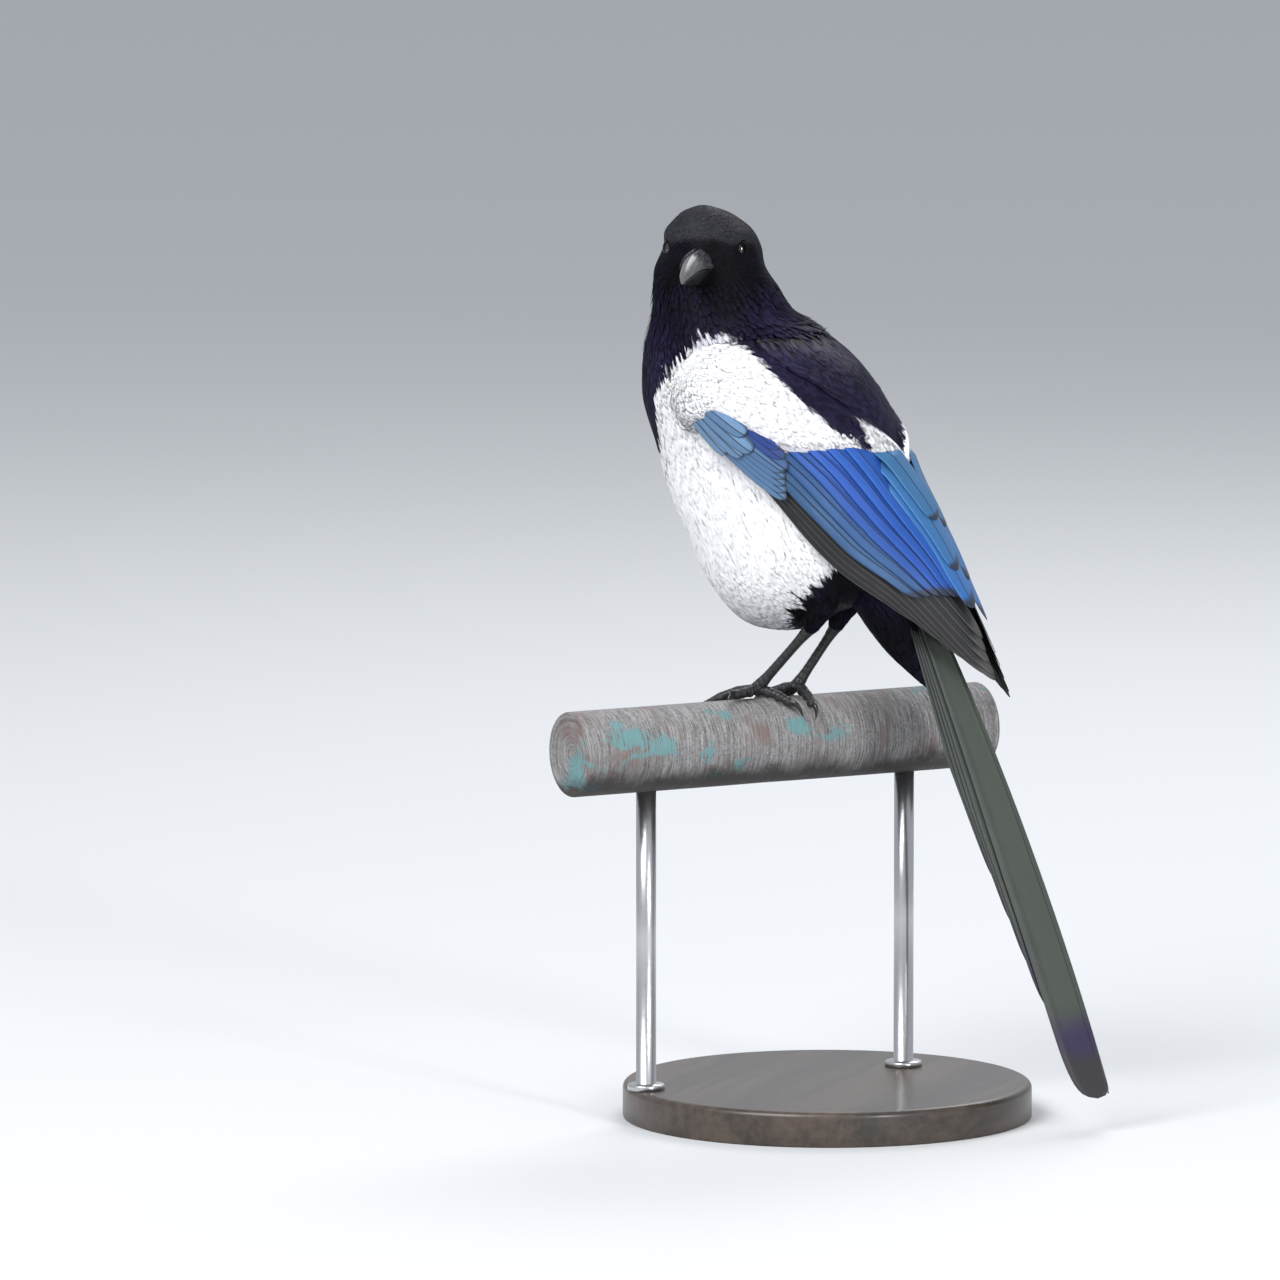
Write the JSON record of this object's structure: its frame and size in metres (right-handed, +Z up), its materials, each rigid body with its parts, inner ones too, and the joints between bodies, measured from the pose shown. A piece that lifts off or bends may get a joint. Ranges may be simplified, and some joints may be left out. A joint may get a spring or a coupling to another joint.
{
  "type": "eurasian magpie",
  "caption": "Eurasian magpie gripping a short length of weathered tube, head turned to its left, as a still life-size display model on a stand",
  "frame": {"origin": "centre of the underside of the stand's base", "axes": "+Z up; -Y is where the bird's breast faces; +X is the bird's left"},
  "size_m": [0.1664, 0.2159, 0.365],
  "materials": {
    "black_plumage": "soft black feathers with a faint violet gloss",
    "white_plumage": "soft white feathers",
    "wing_plumage": "iridescent blue flight feathers",
    "tail_plumage": "iridescent bronze-green tail feathers",
    "horn": "dark satin horn",
    "eye": "wet dark brown",
    "leg_skin": "dark scaled skin",
    "perch_tube": "weathered grey metal with worn paint",
    "stand_board": "dark satin",
    "stand_steel": "brushed"
  },
  "bodies": {
    "root": {"head": "black_plumage", "neck": "black_plumage", "torso": "white_plumage", "thigh_left": "black_plumage", "thigh_right": "black_plumage", "wing_left": "wing_plumage", "wing_right": "wing_plumage", "tail": "tail_plumage", "bill_upper": "horn", "bill_lower": "horn", "eye_left": "eye", "eye_right": "eye", "leg_left": "leg_skin", "leg_right": "leg_skin", "perch": "perch_tube", "stand_base": "stand_board", "stand_rod_front": "stand_steel", "stand_rod_back": "stand_steel"}
  },
  "joints": []
}
